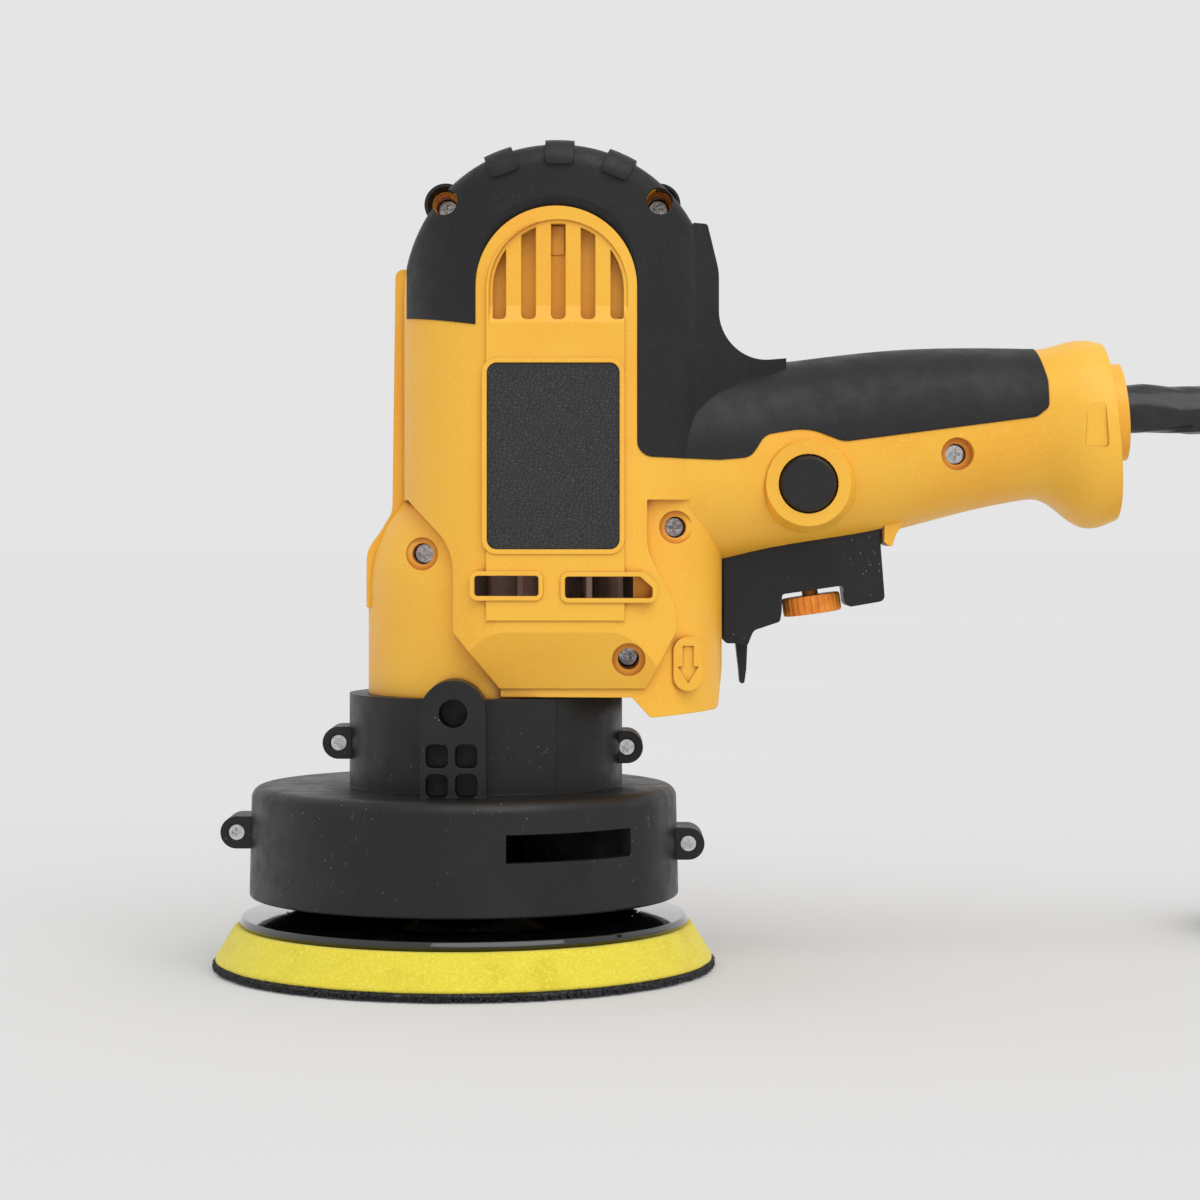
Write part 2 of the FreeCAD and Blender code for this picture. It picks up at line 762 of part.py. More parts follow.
def guard_whole():
    wall = GUARD_WALL
    skirt = turned(
        [
            (SKIRT_R - wall, SKIRT_LOW),
            (SKIRT_R, SKIRT_LOW, 0.8),
            (SKIRT_R - 0.6, SKIRT_TOP, 3),
            (10, SKIRT_TOP),
            (10, SKIRT_TOP - wall),
            (SKIRT_R - 0.6 - wall, SKIRT_TOP - wall, 1),
        ]
    )
    ears = []
    for x, z, inward in EARS:
        ears.append(cross_rod(4.0, x, z, -7.5, 7.5))
        ears.append(block(min(x, x + 5 * inward), max(x, x + 5 * inward), -7.5, 7.5, z - 4, z + 4))
    solid = fuse([skirt, post(COLLAR_R, NECK_X, SKIRT_TOP - wall, COLLAR_TOP), side_lug(),
                  mirrored(side_lug())] + ears)
    neck_hole = post(NECK_R + 0.05, NECK_X, 30, 80)
    inside = post(SKIRT_R - wall, 0, 10, SKIRT_TOP - wall)
    solid = solid.cut(neck_hole).cut(inside)
    for x, z, _ in EARS:
        solid = solid.cut(cross_rod(EAR_SCREW_R + 0.1, x, z, -20, 20))
        solid = solid.cut(cross_rod(2.1, x, z, -20, EAR_HEAD_Y))
    cuts = lug_cuts()
    return solid.cut(fuse(cuts + [mirrored(cut) for cut in cuts]))


def guard_parts():
    whole = guard_whole()
    slot = wedge(13, 51, 31.0, 37.7).cut(post(40, 0, 10, 60))
    return whole.common(LEFT_SIDE).cut(slot), whole.common(RIGHT_SIDE)


def guard_screws():
    screws = [cross_screw(x, z, EAR_HEAD_Y, EAR_SCREW_R, 12, 1.95, 1.4) for x, z, _ in EARS]
    return Part.makeCompound(screws)


# Spindle, gears and pad ---------------------------------------------------------------
def gear(teeth, shift, bore, low, high, tip, thin):
    """A spur gear with arc flanks through three involute points; a gap faces +X."""
    pressure = math.radians(20)
    pitch_r = GEAR_MODULE * teeth / 2
    base_r = pitch_r * math.cos(pressure)
    root_r = pitch_r - (1.25 - shift) * GEAR_MODULE
    thickness = GEAR_MODULE * (math.pi / 2 + 2 * shift * math.tan(pressure)) - thin
    half_pitch_angle = thickness / (2 * pitch_r)

    def involute(angle):
        return math.tan(angle) - angle

    def half_angle(radius):
        slope = math.acos(min(1.0, base_r / radius))
        return half_pitch_angle + involute(pressure) - involute(slope)

    def point(radius, angle):
        return V(radius * math.cos(angle), radius * math.sin(angle), low)

    start_r = max(base_r, root_r + 0.05)
    middle_r = (start_r + tip) / 2
    step = 2 * math.pi / teeth
    edges = []
    for i in range(teeth):
        centre = (i + 0.5) * step
        rise = [point(r, centre - half_angle(r)) for r in (start_r, middle_r, tip)]
        fall = [point(r, centre + half_angle(r)) for r in (tip, middle_r, start_r)]
        foot_in = point(root_r, centre - half_angle(start_r))
        foot_out = point(root_r, centre + half_angle(start_r))
        next_foot = point(root_r, centre + step - half_angle(start_r))
        edges.append(Part.makeLine(foot_in, rise[0]))
        edges.append(Part.Arc(*rise).toShape())
        edges.append(Part.Arc(rise[2], point(tip, centre), fall[0]).toShape())
        edges.append(Part.Arc(*fall).toShape())
        edges.append(Part.makeLine(fall[2], foot_out))
        edges.append(Part.Arc(foot_out, point(root_r, centre + step / 2), next_foot).toShape())
    blank = Part.Face(Part.Wire(edges)).extrude(V(0, 0, high - low))
    return blank.cut(post(bore, 0, low - 1, high + 1))


def drive_gear():
    wheel = gear(GEAR_TEETH, -0.45, 6.0, GEAR_LOW, GEAR_HIGH, 19.5, 0.08)
    keyway = block(5, 7.6, -1.5, 1.5, GEAR_LOW - 1, GEAR_HIGH + 1)
    dish = ring(15.5, 9.5, 0, GEAR_HIGH - 1.5, GEAR_HIGH + 1)
    return wheel.cut(keyway).cut(dish)


def pinion_gear():
    wheel = gear(PINION_TEETH, 0.45, 2.5, GEAR_LOW - 0.5, GEAR_HIGH + 0.5, 5.75, 0.08)
    wheel.rotate(V(0, 0, 0), V(0, 0, 1), 180 + 180 / PINION_TEETH)
    wheel.translate(V(MOTOR_X, 0, 0))
    return wheel


def spindle():
    shaft = turned(
        [(0, 14), (6.4, 14, 0.5), (6.98, 15.2), (6.98, 46), (6, 46), (6, 62.1), (8.5, 62.1), (8.5, GEAR_LOW),
         (6, GEAR_LOW), (6, 77.8), (5, 77.8), (5, 88.8), (0, 88.8)]
    )
    keyway = block(3.9, 7, -1.5, 1.5, GEAR_LOW, GEAR_HIGH)
    flats = block(-9, -6.4, -9, 9, 40.5, 45.5).fuse(block(6.4, 9, -9, 9, 40.5, 45.5))
    groove = ring(7, 5.5, 0, 52.0, 53.0)
    return shaft.cut(keyway).cut(flats).cut(groove)


def gear_key():
    return block(4.0, 7.5, -1.45, 1.45, GEAR_LOW + 0.3, GEAR_HIGH - 0.3)


def circlip():
    return ring(7.6, 5.55, 0, 52.1, 52.9).cut(block(-9, 0, -1.2, 1.2, 50, 55))


def gear_case():
    cup = ring(26.3, 23.2, NECK_X, 47.5, 66.0).fuse(post(26.3, NECK_X, 47.5, 51.5))
    hub = post(17.5, 0, 47.5, 62.0).common(post(26.3, NECK_X, 40, 70))
    webs = [block(-1.5, 1.5, 12, 40, 51, 60)]
    ribs = fuse(spread(webs[0], 6)).common(post(24, NECK_X, 40, 70))
    solid = fuse([cup, hub, ribs])
    return solid.cut(post(14.0, 0, 54.0, 70)).cut(post(10.0, 0, 40, 60))


def ball_bearing(x, low, high, outer, bore):
    """A shielded bearing: one ring with a shallow groove on each face."""
    race = ring(outer, bore, x, low, high)
    groove_out, groove_in = outer - 2.4, bore + 1.8
    for start, end in ((low - 1, low + 0.5), (high - 0.5, high + 1)):
        race = race.cut(ring(groove_out, groove_in, x, start, end))
    return race


def gear_plate():
    plate = prism_z(PLATE_PLAN, PLATE_LOW, PLATE_HIGH)
    motor_boss = post(13.6, MOTOR_X, PLATE_LOW, 90.4)
    spindle_boss = post(9.2, 0, PLATE_LOW, 90.4)
    web = block(0, MOTOR_X, -2, 2, PLATE_LOW, 88)
    solid = fuse([plate, motor_boss, spindle_boss, web])
    solid = solid.cut(post(11.0, MOTOR_X, PLATE_HIGH, 95)).cut(post(8.0, MOTOR_X, 70, 95))
    return solid.cut(post(7.0, 0, 70, 95))


def backing_plate():
    return turned(
        [
            (12.05, FOAM_TOP),
            (55.6, FOAM_TOP),
            (56.2, 12.0, 0.6),
            (55.4, 13.2, 0.6),
            (44.0, 14.0, 6),
            (27.0, 17.6, 8),
            (16.0, 22.5, 4),
            (15.0, 31.0, 1),
            (12.05, 31.0),
        ]
    )


def pad_hub():
    """The threaded metal hub moulded into the backing plate."""
    hub = turned([(7.02, 13), (12.0, 13), (12.0, 34, 0.8), (7.02, 34)])
    flats = block(-20, -10.6, -20, 20, 31.4, 40).fuse(block(10.6, 20, -20, 20, 31.4, 40))
    return hub.cut(flats)


def foam_pad():
    return turned([(0, HOOK_TOP), (PAD_R - 0.3, HOOK_TOP, 0.8), (PAD_TOP_R, FOAM_TOP, 1.2), (0, FOAM_TOP)])


# Motor --------------------------------------------------------------------------------
CORE_LOW, CORE_HIGH, CORE_R, SHAFT_R = 117.0, 149.0, 16.0, 4.0
BRUSH_Z = 164.0


def armature_shaft():
    return turned([(0, 67), (2.5, 67, 0.4), (2.5, 79.5), (SHAFT_R, 79.5), (SHAFT_R, 184), (0, 184)], MOTOR_X)


def armature_core():
    core = ring(CORE_R, SHAFT_R, MOTOR_X, CORE_LOW, CORE_HIGH)
    slot = post(1.9, MOTOR_X + 12.4, CORE_LOW - 1, CORE_HIGH + 1)
    mouth = block(MOTOR_X + 12, MOTOR_X + 18, -0.8, 0.8, CORE_LOW - 1, CORE_HIGH + 1)
    return core.cut(fuse(spread(slot.fuse(mouth), 12, MOTOR_X)))


def armature_windings():
    lower = turned([(4.6, 109.5, 1), (13, 109.5, 3), (14.3, CORE_LOW), (4.6, CORE_LOW)], MOTOR_X)
    upper = turned([(4.6, CORE_HIGH), (14.3, CORE_HIGH), (12.5, 155.5, 3), (4.6, 155.5, 1)], MOTOR_X)
    bars = spread(post(1.7, MOTOR_X + 12.4, CORE_LOW - 0.5, CORE_HIGH + 0.5), 12, MOTOR_X)
    return fuse([lower, upper] + bars)


def commutator():
    body = ring(11.0, SHAFT_R, MOTOR_X, 157.0, 171.0).fuse(ring(12.6, SHAFT_R, MOTOR_X, 157.0, 158.6))
    slit = block(MOTOR_X + 10.2, MOTOR_X + 14, -0.25, 0.25, 150, 180)
    return body.cut(fuse(spread(slit, 24, MOTOR_X)))


def fan():
    hub = ring(8.0, SHAFT_R, MOTOR_X, 91.4, 99.4)
    disc = ring(27.0, SHAFT_R, MOTOR_X, 98.0, 99.4)
    shroud = ring(27.0, 20.0, MOTOR_X, 91.4, 92.4)
    blade = block(MOTOR_X + 12, MOTOR_X + 26.8, -0.7, 0.7, 91.6, 98.5)
    blade.rotate(V(MOTOR_X + 12, 0, 0), V(0, 0, 1), -28)
    blade = blade.common(post(26.9, MOTOR_X, 90, 100))
    return fuse([hub, disc, shroud] + spread(blade, 19, MOTOR_X))


def stator_core():
    yoke = ring(STATOR_R, 24.5, MOTOR_X, STATOR_LOW, STATOR_HIGH)
    poles = ring(25.0, CORE_R + 0.6, MOTOR_X, STATOR_LOW, STATOR_HIGH)
    left = wedge(-50, 50, STATOR_LOW, STATOR_HIGH)
    left.translate(V(MOTOR_X, 0, 0))
    return yoke.fuse(poles.common(left.fuse(mirrored(left))))


def stator_coils():
    outside = wedge(-67, 67, COIL_LOW, COIL_HIGH)
    inside = wedge(-51, 51, STATOR_LOW - 0.3, STATOR_HIGH + 0.3)
    outside.translate(V(MOTOR_X, 0, 0))
    inside.translate(V(MOTOR_X, 0, 0))
    loop = ring(24.2, CORE_R + 1.0, MOTOR_X, COIL_LOW, COIL_HIGH).common(outside).cut(inside)
    return Part.makeCompound([loop, mirrored(loop)])


def brush_parts():
    """Brass holders, carbon brushes and springs on both sides of the commutator."""
    holders, brushes, springs = [], [], []
    for side in (1, -1):
        x = MOTOR_X + side * 12.2
        holder = block(min(x, x + 17 * side), max(x, x + 17 * side), -4.6, 4.6, BRUSH_Z - 4.6, BRUSH_Z + 4.6)
        channel = block(min(x - side, x + 15.6 * side), max(x - side, x + 15.6 * side), -3.2, 3.2,
                        BRUSH_Z - 3.2, BRUSH_Z + 3.2)
        holders.append(holder.cut(channel))
        face = MOTOR_X + side * 11.15
        brushes.append(block(min(face, face + 10 * side), max(face, face + 10 * side), -3.1, 3.1,
                             BRUSH_Z - 3.1, BRUSH_Z + 3.1))
        spring = coil_spring(2.2, 0.45, 3, 5.0)
        spring.rotate(V(0, 0, 0), V(0, 1, 0), 90 * side)
        spring.translate(V(MOTOR_X + side * 21.6, 0, BRUSH_Z))
        springs.append(spring)
    return [Part.makeCompound(group) for group in (holders, brushes, springs)]


# Handle: trigger, dial, button, switch and cord entry ---------------------------------
DIAL_X, DIAL_Z, DIAL_R, DIAL_HIGH = 87.1, 90.6, 7.3, 4.6
PLUNGER_X = 87.0
SWITCH_LOW, SWITCH_HIGH = 122.5, 141.0
SPRING_X = 97.5


def tilted(shape, x, z):
    shape.rotate(V(x, 0, z), V(0, 1, 0), -HANDLE_TILT)
    return shape


def trigger():
    body = prism_y(
        [
            (64.75, 108.0),
            (64.75, 81.0, 1.2),
            (67.4, 81.0, 0.5),
            (70.6, 80.2, 1),
            (72.2, 84.2, 2),
            (78.8, 86.4, 1),
            (79.2, 89.0),
            (79.3, 93.2, 0.8),
            (94.6, 95.4, 0.8),
            (95.2, 89.9, 1.5),
            (104.9, 91.6, 1.5),
            (103.9, 104.2),
            (103.4, 113.4),
        ],
        -TRIGGER_HALF,
        TRIGGER_HALF,
    )
    claw = prism_y(
        [(67.6, 84), (68.7, 74.5), (69.0, 70.8, 0.5), (70.1, 70.9, 0.5), (70.6, 74.5), (71.0, 84)], -3, 3
    )
    flange = prism_y([(67, 108.2), (102, 113.4), (102, 115), (67, 109.8)], -8.6, 8.6)
    solid = fuse([body, claw, flange])
    solid = solid.cut(block(68.5, 80.5, -5, 5, 88, 125)).cut(block(93.2, 101.8, -5, 5, 97, 125))
    solid = solid.cut(post(2.5, PLUNGER_X, 106, 120))
    return solid.cut(tilted(post(2.05, DIAL_X, 85, 101.6), DIAL_X, DIAL_Z))


def speed_dial():
    low, high = DIAL_Z - DIAL_HIGH / 2, DIAL_Z + DIAL_HIGH / 2
    disc = turned([(0, low), (DIAL_R, low, 0.6), (DIAL_R, high, 0.6), (0, high)], DIAL_X)
    disc = disc.cut(fuse(spread(post(0.5, DIAL_X + DIAL_R + 0.1, low - 1, low + 6), 26, DIAL_X)))
    pin = post(2.0, DIAL_X, DIAL_Z, 101.0)
    return tilted(disc.fuse(pin), DIAL_X, DIAL_Z)


def lock_button():
    profile = [(0, 0), (6.3, 0), (7.0, 0.8), (7.0, 4.9), (8.5, 4.9), (8.5, 7.4), (0, 7.4)]
    button = turned(profile)
    button.rotate(V(0, 0, 0), V(1, 0, 0), -90)
    button.translate(V(BUTTON_X, -22.7, BUTTON_Z))
    return button


def lock_spring():
    spring = coil_spring(4.0, 0.35, 3, 3.2)
    spring.rotate(V(0, 0, 0), V(1, 0, 0), -90)
    spring.translate(V(BUTTON_X, -14.6, BUTTON_Z))
    return spring


def trigger_spring():
    spring = coil_spring(3.2, 0.45, 9, SWITCH_LOW - 0.6 - 97.6)
    spring.translate(V(SPRING_X, 0, 97.6))
    return spring


def switch_body():
    case = block(70, 110, -8, 8, SWITCH_LOW, SWITCH_HIGH)
    case = case.makeFillet(0.8, case.Edges)
    tabs = [block(74 + 8 * i, 79 + 8 * i, -4, 4, SWITCH_HIGH - 0.5, SWITCH_HIGH + 3.5) for i in range(4)]
    return fuse([case] + tabs).cut(post(2.6, PLUNGER_X, 110, 135))


def cord_clamp():
    bar = block(138.5, 145.5, -11, 11, CORD_Z + 0.6, CORD_Z + 6.5)
    groove = rod(3.5, (130, 0, CORD_Z), (150, 0, CORD_Z))
    holes = [post(1.6, 142, 120, 160, y) for y in (-8, 8)]
    return bar.cut(groove).cut(fuse(holes))


def clamp_posts():
    """The posts in the shells that the clamp is screwed to, one on each side."""
    posts = [post(3.2, 142, 112, CORD_Z + 0.6, y) for y in (-8, 8)]
    return fuse(posts).common(handle(1)).cut(fuse([post(1.5, 142, 128, 160, y) for y in (-8, 8)]))


def clamp_screws():
    screws = []
    for y in (-8, 8):
        top = CORD_Z + 6.5
        screws.append(post(2.6, 142, top, top + 1.6, y).fuse(post(1.5, 142, 129, top, y)))
    return Part.makeCompound(screws)


def cord_boot():
    """The long flexible sleeve that guides the cord out of the handle."""
    flange = [(6.15, 3.8), (9.0, 3.8), (9.0, 6.6), (6.15, 6.6)]
    sleeve = turned([(0, 0), (6.15, 0)] + flange + [(6.15, 38), (4.6, 57.5, 0.8), (0, 57.5)])
    sleeve.rotate(V(0, 0, 0), V(0, 1, 0), 90)
    sleeve.translate(V(BOOT_END - 57.5, 0, CORD_Z))
    return sleeve


# Leads inside, then the free cord, its coil and its plug ------------------------------
LEAD_ROUTES = (
    (
        (76, -2, 145.8),
        (69, -4, 145.4),
        (62, -7, 143),
        (56.2, -9, 147),
        (55.6, -9.4, 154),
        (53.5, -8, 160),
        (50, -5.9, 163),
    ),
    (
        (84, 2, 145.8),
        (76, 4, 146),
        (68, 5, 145),
        (61, 8, 143),
        (55, 11, 148),
        (48, 19, 155),
        (36, 24, 158),
        (20, 26.5, 159.5),
        (4, 23, 161),
        (-4, 14, 163),
        (-7.5, 6, 164),
    ),
)


def motor_leads():
    """The two wires from the switch to the brush holders."""
    return Part.makeCompound([tube(route, 1.0, 1.0)[0] for route in LEAD_ROUTES])


def supply_lead():
    """The cord's stretch inside the handle, from the sleeve to the switch."""
    route = [(149.5, 0, CORD_Z), (128, 0, CORD_Z), (118, 0, 141.5), (106, 0, 146.0)]
    return tube(route, 3.45, 8)[0]


BOOT_END = 207.0
COIL_X, COIL_Y = 248.5, 62.0
COIL_OUT, COIL_IN = 45.5, 31.5  # middle radii of the outermost and innermost turns
COIL_TOP = 28.0  # four layers of turns
CORD_ROUTE = (
    (BOOT_END, 0, CORD_Z),
    (234, 0, 138.5),
    (260, -2, 128),
    (279, -6, 108),
    (289, -8, 84),
    (293, -6, 59),
    (294, 2, 35),
    (294, 18, 15.5),
    (294, 40, 5),
    (294, 62, 3.5),
)
TAIL_ROUTE = (
    (248.5, 25.4, 24.6),
    (261.2, 25.4, 26.2),
    (272.9, 30.2, 29.2),
    (281.9, 39, 32.2),
    (286.8, 50.7, 34.4),
    (287, 63, 35.1),
)
PLUG_START, PLUG_LENGTH = 63.0, 36.0


def cord_coil():
    outside, inside = COIL_OUT + CORD_R, COIL_IN - CORD_R
    return turned([(inside, 0, 2), (outside, 0, 2), (outside, COIL_TOP, 3), (inside, COIL_TOP, 3)])


def plug_body():
    """A plain two-pin plug that lies on the coil."""
    x, z = TAIL_ROUTE[-1][0], TAIL_ROUTE[-1][2]
    plan = [
        (x - 4.6, PLUG_START, 1),
        (x - 5.2, PLUG_START + 9, 2),
        (x - 13, PLUG_START + 20, 6),
        (x - 14.5, PLUG_START + PLUG_LENGTH, 2),
        (x + 14.5, PLUG_START + PLUG_LENGTH, 2),
        (x + 13, PLUG_START + 20, 6),
        (x + 5.2, PLUG_START + 9, 2),
        (x + 4.6, PLUG_START, 1),
    ]
    start, end = PLUG_START, PLUG_START + PLUG_LENGTH
    side = prism_x(
        [(start, z - 4.6, 1), (end, z - 7, 2), (end, z + 7, 2), (start, z + 4.6, 1)],
        x - 20,
        x + 20,
    )
    return prism_z(plan, z - 8, z + 8).common(side)


def plug_pins():
    x, z = TAIL_ROUTE[-1][0], TAIL_ROUTE[-1][2]
    end = PLUG_START + PLUG_LENGTH
    return Part.makeCompound([rod(2.0, (x + dx, end, z), (x + dx, end + 19, z)) for dx in (-9.5, 9.5)])


# Build --------------------------------------------------------------------------------
left_housing, right_housing, left_cover, right_cover = housing_parts()
save("left_housing", left_housing.fuse(clamp_posts().common(LEFT_SIDE)))
save("right_housing", right_housing.fuse(clamp_posts().common(RIGHT_SIDE)))
save("left_grip_cover", left_cover)
save("right_grip_cover", right_cover)
save("left_label_plate", label_plate())
save("right_label_plate", mirrored(label_plate()))
save("housing_screws", housing_screws())
guard_left, guard_right = guard_parts()
save("guard_left", guard_left)
save("guard_right", guard_right)
save("guard_screws", guard_screws())
save("spindle", spindle())
save("drive_gear", drive_gear())
save("gear_key", gear_key())
save("spindle_circlip", circlip())
save("pad_hub", pad_hub())
save("backing_plate", backing_plate())
save("foam_pad", foam_pad())
save("hook_face", turned([(0, 0), (PAD_R, 0, 0.6), (PAD_R, HOOK_TOP, 0.6), (0, HOOK_TOP)]))
save("gear_case", gear_case())
save("spindle_bearing", ball_bearing(0, 54.0, 62.0, 14.0, 6.0 + FIT_GAP))
save("spindle_bush", ring(7.0, 5.0 + FIT_GAP, 0, 80.0, 90.4))
save("dust_seal", ring(10.0, 6.0 + 0.1, 0, 47.7, 51.3))
save("gear_plate", gear_plate())
save("pinion_gear", pinion_gear())
save("armature_shaft", armature_shaft())
save("armature_core", armature_core())
save("armature_windings", armature_windings())
save("commutator", commutator())
save("cooling_fan", fan())
save("upper_bearing", ball_bearing(MOTOR_X, UPPER_SEAT_LOW, UPPER_SEAT_HIGH, 11.0, SHAFT_R + FIT_GAP))
save("lower_bearing", ball_bearing(MOTOR_X, 83.0, 90.0, 11.0, SHAFT_R + FIT_GAP))
save("stator_core", stator_core())
save("stator_coils", stator_coils())
brush_holders, carbon_brushes, brush_springs = brush_parts()
save("brush_holders", brush_holders)
save("carbon_brushes", carbon_brushes)
save("brush_springs", brush_springs)
save("trigger", trigger())
save("speed_dial", speed_dial())
save("lock_button", lock_button())
save("lock_spring", lock_spring())
save("trigger_spring", trigger_spring())
save("switch_plunger", post(2.5, PLUNGER_X, 106, 126))
save("switch_body", switch_body())
save("motor_leads", motor_leads())
save("supply_lead", supply_lead())
save("cord_clamp", cord_clamp())
save("clamp_screws", clamp_screws())
save("cord_boot", cord_boot())
cord, cord_length = tube(CORD_ROUTE, CORD_R, 10 * CORD_R)
tail, tail_length = tube(TAIL_ROUTE, CORD_R, 10 * CORD_R)
save("cord", cord)
save("cord_tail", tail)
coil = cord_coil()
coil.translate(V(COIL_X, COIL_Y, 0))
save("cord_coil", coil)
save("plug_body", plug_body())
save("plug_pins", plug_pins())
print(f"cord tube {cord_length:.0f} mm, tail {tail_length:.0f} mm")
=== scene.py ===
"""Looks of the rotary polisher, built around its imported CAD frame.

Lengths are in metres in the frame of the part. The origin is on the spindle's axis at the
pad's lower face, +X points along the handle and the viewer stands on -Y.
"""

import json
import math
import random

import bmesh
import bpy
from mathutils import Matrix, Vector, noise


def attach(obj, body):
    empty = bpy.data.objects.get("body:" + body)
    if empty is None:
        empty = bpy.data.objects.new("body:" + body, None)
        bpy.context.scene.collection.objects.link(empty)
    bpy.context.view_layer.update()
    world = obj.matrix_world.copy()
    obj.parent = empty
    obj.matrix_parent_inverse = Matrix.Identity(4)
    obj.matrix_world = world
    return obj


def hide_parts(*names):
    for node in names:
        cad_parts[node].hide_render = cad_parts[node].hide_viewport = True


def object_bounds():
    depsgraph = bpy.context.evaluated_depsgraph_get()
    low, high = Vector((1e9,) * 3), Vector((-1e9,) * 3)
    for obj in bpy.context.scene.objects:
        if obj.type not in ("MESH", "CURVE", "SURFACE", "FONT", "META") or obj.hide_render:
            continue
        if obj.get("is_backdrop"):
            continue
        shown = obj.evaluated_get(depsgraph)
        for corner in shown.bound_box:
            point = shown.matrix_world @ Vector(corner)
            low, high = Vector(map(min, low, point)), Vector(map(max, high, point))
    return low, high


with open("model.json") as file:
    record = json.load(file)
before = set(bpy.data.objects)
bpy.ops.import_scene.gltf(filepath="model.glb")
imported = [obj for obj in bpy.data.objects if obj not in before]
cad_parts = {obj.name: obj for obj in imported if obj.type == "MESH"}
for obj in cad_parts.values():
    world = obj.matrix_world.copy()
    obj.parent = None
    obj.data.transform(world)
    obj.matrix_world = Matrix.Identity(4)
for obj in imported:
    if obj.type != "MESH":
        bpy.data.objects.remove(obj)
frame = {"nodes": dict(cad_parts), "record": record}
cad_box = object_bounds()
scene = bpy.context.scene
MM = 0.001


def add_object(name, data):
    made = bpy.data.objects.new(name, data)
    scene.collection.objects.link(made)
    return made


# Camera -------------------------------------------------------------------------------
camera = add_object("camera", bpy.data.cameras.new("camera"))
scene.camera = camera
camera.data.sensor_width = 36
camera.data.lens = 92
camera.data.shift_y = -0.061
camera.location = (0.034, -0.770, 0.110)
camera.rotation_euler = (math.pi / 2, 0, 0)

# Cord ---------------------------------------------------------------------------------
CORD_R = 3.5 * MM
COIL_X, COIL_Y = 0.2485, 0.062
COIL_OUT, COIL_IN = 0.0455, 0.0313  # middle radii of the outermost and innermost turns
COIL_TURNS = 6.75
TURN_POINTS = 16
LAYER_TURNS = 2
LAYER_RISE = 7.05 * MM
CLIMB_TURNS = 0.125  # the share of a turn in which the cord climbs to its next layer
CORD_EXIT = (0.207, 0, 0.1395)
CORD_ROUTE = (
    CORD_EXIT,
    (0.234, 0, 0.1385),
    (0.260, -0.002, 0.128),
    (0.279, -0.006, 0.108),
    (0.289, -0.008, 0.084),
    (0.293, -0.006, 0.059),
    (0.294, 0.002, 0.035),
    (0.294, 0.018, 0.0155),
    (0.294, 0.040, 0.005),
    (0.294, 0.062, 0.0035),
)
TAIL_ROUTE = (
    (0.2612, 0.0254, 0.0262),
    (0.2729, 0.0302, 0.0292),
    (0.2819, 0.039, 0.0322),
    (0.2868, 0.0507, 0.0344),
    (0.287, 0.063, 0.0351),
)


def coil_points():
    """Turns that wind inwards on one layer and outwards on the next."""
    points = []
    for step in range(1, int(COIL_TURNS * TURN_POINTS) + 1):
        turn = step / TURN_POINTS
        layer = int(turn / LAYER_TURNS)
        in_layer = turn - layer * LAYER_TURNS
        share = in_layer / LAYER_TURNS
        spread = share if layer % 2 else 1 - share
        radius = COIL_IN + (COIL_OUT - COIL_IN) * spread
        climb = min(1.0, in_layer / CLIMB_TURNS) if layer else 1.0
        height = CORD_R + LAYER_RISE * (layer - 1 + climb)
        angle = 2 * math.pi * turn
        x, y = COIL_X + radius * math.cos(angle), COIL_Y + radius * math.sin(angle)
        points.append((x, y, height))
    return points


def cord_curve(points):
    curve = bpy.data.curves.new("mains_cord", "CURVE")
    curve.dimensions = "3D"
    curve.bevel_depth = 1.0  # metres, times each point's radius
    curve.bevel_resolution = 5
    curve.resolution_u = 10
    curve.use_fill_caps = True
    spline = curve.splines.new("NURBS")
    spline.points.add(len(points) - 1)
    for target, point in zip(spline.points, points):
        target.co = (*point, 1)
        target.radius = CORD_R
    spline.order_u = 3
    spline.use_endpoint_u = True
    return add_object("mains_cord", curve)


mains_cord = cord_curve([*CORD_ROUTE, *coil_points(), *TAIL_ROUTE])
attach(mains_cord, "housing")
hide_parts("cord", "cord_tail", "cord_coil")


# Node helpers -------------------------------------------------------------------------
def linear(red, green, blue):
    """A display colour, 0 to 255, as a scene colour."""
    shares = [value / 255 for value in (red, green, blue)]
    return (*[s / 12.92 if s <= 0.04045 else ((s + 0.055) / 1.055) ** 2.4 for s in shares], 1.0)


def put(tree, kind, inputs, **settings):
    """Adds a node. Each input is a value or another node's output."""
    made = tree.nodes.new(kind)
    for key, value in settings.items():
        setattr(made, key, value)
    for key, value in inputs.items():
        if isinstance(value, bpy.types.NodeSocket):
            tree.links.new(value, made.inputs[key])
        else:
            made.inputs[key].default_value = value
    return made


def grain(tree, place, size, detail=2.0, roughness=0.5, distortion=0.0):
    """Noise whose marks are about size metres across."""
    inputs = {
        "Vector": place,
        "Scale": 1 / size,
        "Detail": detail,
        "Roughness": roughness,
        "Distortion": distortion,
    }
    return put(tree, "ShaderNodeTexNoise", inputs).outputs["Fac"]


def cells(tree, place, size, feature="F1"):
    inputs = {"Vector": place, "Scale": 1 / size}
    return put(tree, "ShaderNodeTexVoronoi", inputs, feature=feature).outputs["Distance"]


def ramp(tree, value, start, end, low=0.0, high=1.0):
    """Turns start..end of a value into low..high and holds it beyond."""
    inputs = {"Value": value, "From Min": start, "From Max": end, "To Min": low, "To Max": high}
    made = put(tree, "ShaderNodeMapRange", inputs, interpolation_type="SMOOTHSTEP")
    return made.outputs["Result"]


def stretched(tree, place, up):
    """The place again, scaled by up in height."""
    return put(tree, "ShaderNodeMapping", {"Vector": place, "Scale": (1.0, 1.0, up)}).outputs[0]


def blend(tree, share, first, second):
    made = put(tree, "ShaderNodeMix", {0: share, 6: first, 7: second}, data_type="RGBA")
    return made.outputs[2]


